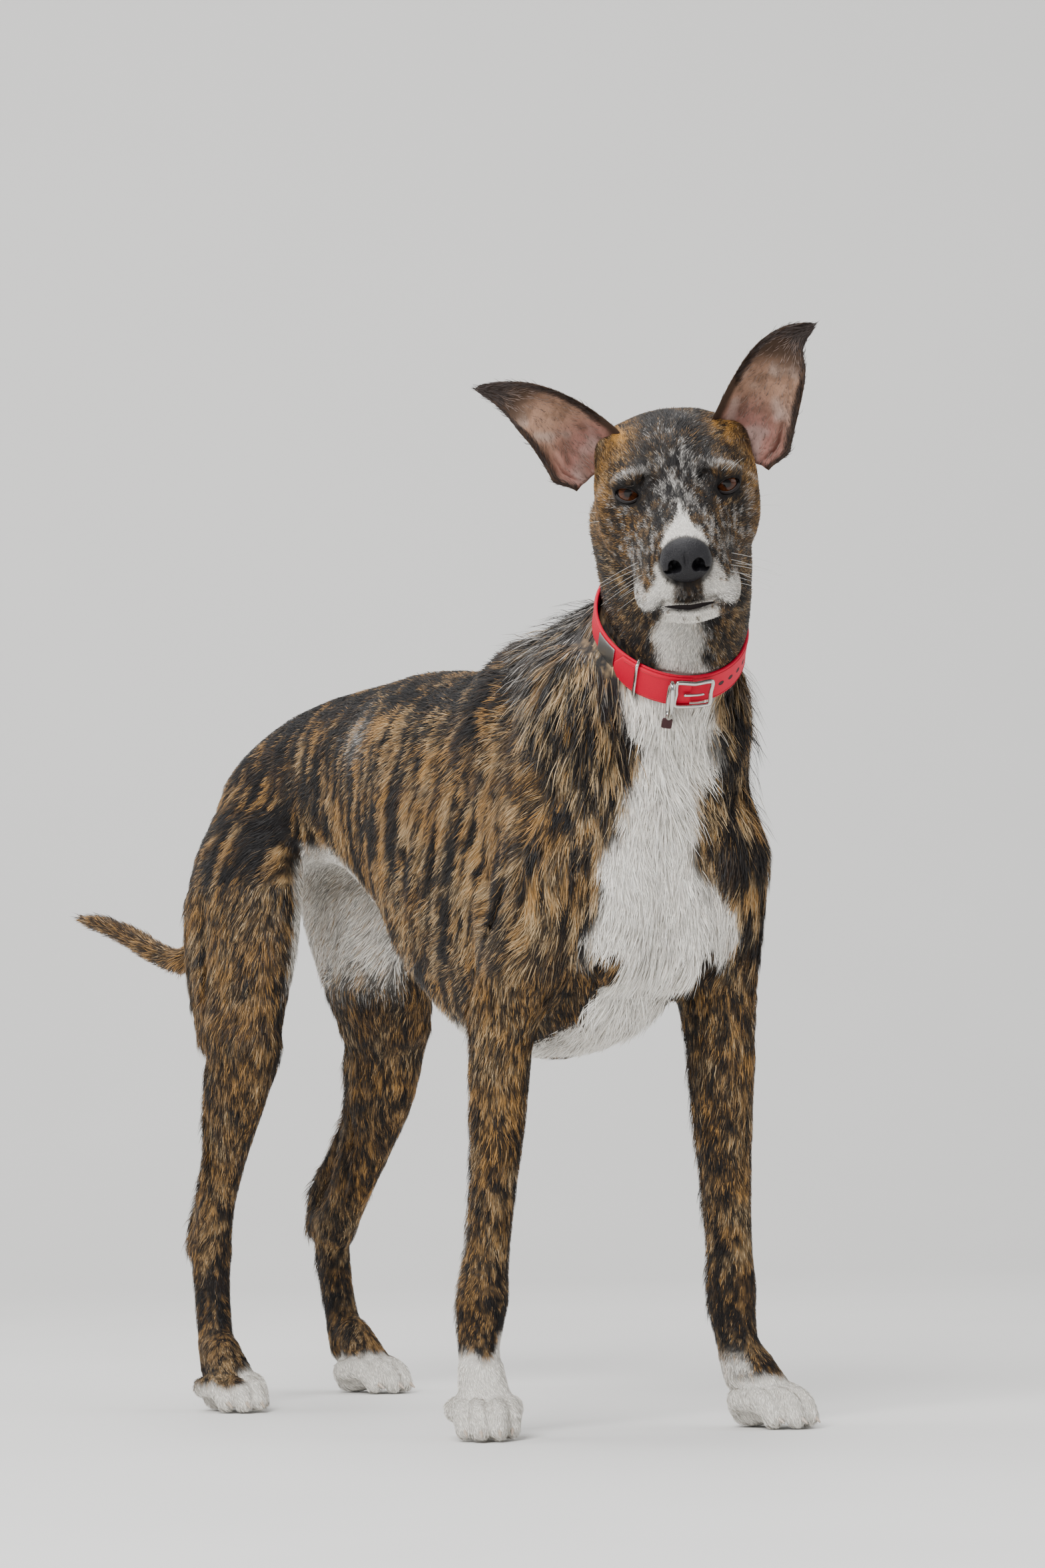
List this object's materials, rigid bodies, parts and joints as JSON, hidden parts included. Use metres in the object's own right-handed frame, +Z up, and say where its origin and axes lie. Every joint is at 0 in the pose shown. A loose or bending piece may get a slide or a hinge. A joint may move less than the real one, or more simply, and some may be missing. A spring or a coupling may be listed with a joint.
{
  "type": "greyhound",
  "caption": "Life-size standing greyhound with brindle coat, head turned to its right, ears out, red collar with buckle; a still model that rests on four flat soles.",
  "frame": {"origin": "centre of the bounding box, on the floor under the paws", "axes": "+Z up, the dog faces -Y, its own left side is +X"},
  "size_m": [0.3168, 1.2862, 0.9554],
  "materials": {
    "coat": "short brindle fur, tan ground with black streaks",
    "coat_white": "short white fur",
    "nose": "fine pebbled, slightly moist",
    "eye": "amber-brown, wet gloss",
    "claw": "pale horn",
    "strap": "smooth coated crimson strap",
    "buckle_metal": "polished nickel"
  },
  "bodies": {
    "root": {"eye_right": "eye", "eye_left": "eye", "head": "coat", "nose": "nose", "ear_right": "coat", "ear_left": "coat", "collar_strap": "strap", "collar_tongue": "strap", "collar_plate": "buckle_metal", "collar_keeper": "buckle_metal", "collar_buckle": "buckle_metal", "collar_prong": "buckle_metal", "collar_ring": "buckle_metal", "collar_tag": "strap", "neck": "coat", "chest": "coat", "loin": "coat", "tail": "coat", "foreleg_right": "coat", "claw_fore_right_1": "claw", "claw_fore_right_2": "claw", "claw_fore_right_3": "claw", "claw_fore_right_4": "claw", "paw_fore_right": "coat_white", "foreleg_left": "coat", "claw_fore_left_1": "claw", "claw_fore_left_2": "claw", "claw_fore_left_3": "claw", "claw_fore_left_4": "claw", "paw_fore_left": "coat_white", "thigh_right": "coat", "shank_right": "coat", "pastern_right": "coat", "claw_hind_right_1": "claw", "claw_hind_right_2": "claw", "claw_hind_right_3": "claw", "claw_hind_right_4": "claw", "paw_hind_right": "coat_white", "thigh_left": "coat", "shank_left": "coat", "pastern_left": "coat", "claw_hind_left_1": "claw", "claw_hind_left_2": "claw", "claw_hind_left_3": "claw", "claw_hind_left_4": "claw", "paw_hind_left": "coat_white"}
  },
  "joints": []
}
